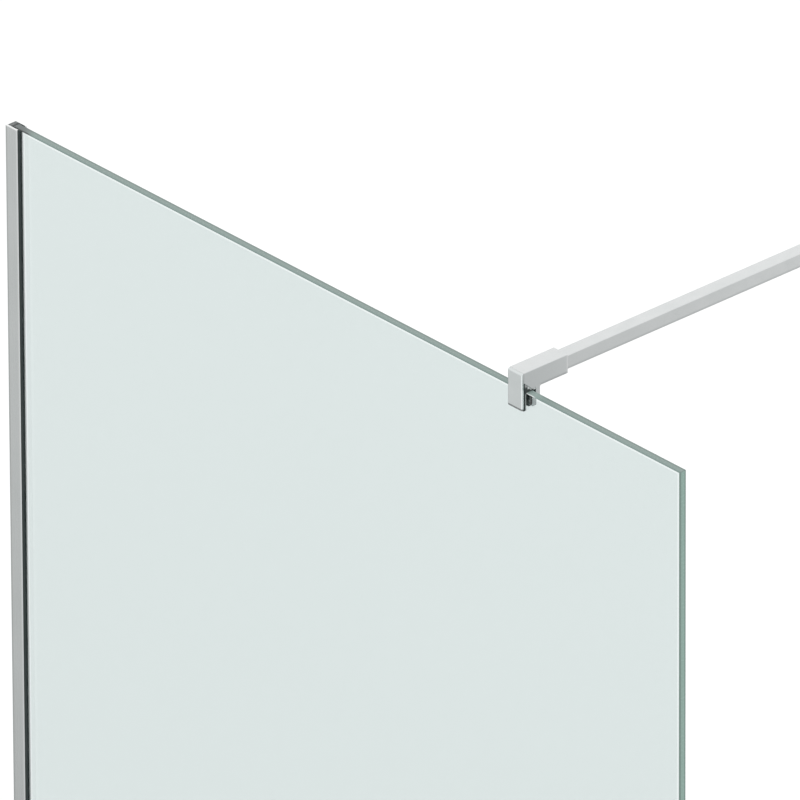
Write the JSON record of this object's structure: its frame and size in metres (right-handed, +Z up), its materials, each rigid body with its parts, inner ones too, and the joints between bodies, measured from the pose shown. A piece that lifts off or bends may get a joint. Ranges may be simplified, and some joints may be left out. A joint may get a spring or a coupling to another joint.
{
  "type": "walk-in shower screen",
  "caption": "Fixed glass panel in a wall channel, steadied at its top edge by a glass clamp and a square arm that runs back to the side wall.",
  "frame": {"origin": "on the wall at tray level, in the middle of the glass thickness", "axes": "+X along the glass away from the wall, +Y through the glass towards the side wall that holds the arm, +Z up"},
  "size_m": [0.888, 1.0097, 1.9852],
  "materials": {
    "polished_aluminium": "bright anodised",
    "chrome": "soft polished",
    "screw_steel": "dark zinc plated",
    "seal_rubber": "matt black",
    "dark_plastic": "moulded dark grey",
    "toughened_glass": "clear, with a green edge",
    "clear_vinyl": "clear, soft"
  },
  "bodies": {
    "wall_channel": {"wall_channel": "polished_aluminium", "front_seal_strip": "seal_rubber", "rear_seal_strip": "seal_rubber", "channel_cap": "dark_plastic", "glass_packer": "dark_plastic"},
    "glass": {"glass_panel": "toughened_glass", "bottom_seal": "clear_vinyl"},
    "clamp": {"clamp_body": "chrome", "front_plate": "chrome", "plate_screw": "screw_steel", "plate_washer": "screw_steel", "glass_saddle": "seal_rubber", "clamp_grub_screws": "screw_steel"},
    "pad": {"rear_pad": "seal_rubber", "pressure_plate": "dark_plastic"},
    "clamp_screw": {"clamp_screw": "screw_steel"},
    "arm": {"support_bar": "chrome"},
    "wall_bracket": {"wall_flange": "chrome", "wall_grub_screws": "screw_steel"},
    "cover": {"wall_cover": "chrome", "cover_ring": "dark_plastic"}
  },
  "joints": [
    {"name": "glass_adjust", "type": "slide", "parent": "wall_channel", "child": "glass", "axis": [1, 0, 0], "range_m": [-0.003, 0.005]},
    {"name": "clamp_slide", "type": "slide", "parent": "glass", "child": "clamp", "axis": [1, 0, 0], "range_m": [-0.55, 0.18]},
    {"name": "pad_press", "type": "slide", "parent": "clamp", "child": "pad", "axis": [0, 1, 0], "range_m": [0, 0.0005]},
    {"name": "clamp_screw_turn", "type": "hinge", "parent": "pad", "child": "clamp_screw", "pos_m": [0.6803, 0.0123, 1.9395], "axis": [0, 1, 0], "range_deg": [0, 225.1]},
    {"name": "arm_slide", "type": "slide", "parent": "clamp", "child": "arm", "axis": [0, 1, 0], "range_m": [-0.0013, 0.015]},
    {"name": "bracket_slide", "type": "slide", "parent": "arm", "child": "wall_bracket", "axis": [0, 1, 0], "range_m": [-0.006, 0.003]},
    {"name": "cover_slide", "type": "slide", "parent": "wall_bracket", "child": "cover", "axis": [0, -1, 0], "range_m": [0, 0.15]}
  ],
  "couplings": [
    {"joint": "clamp_screw_turn", "follows": "pad_press", "rad_per_m": 7854}
  ]
}
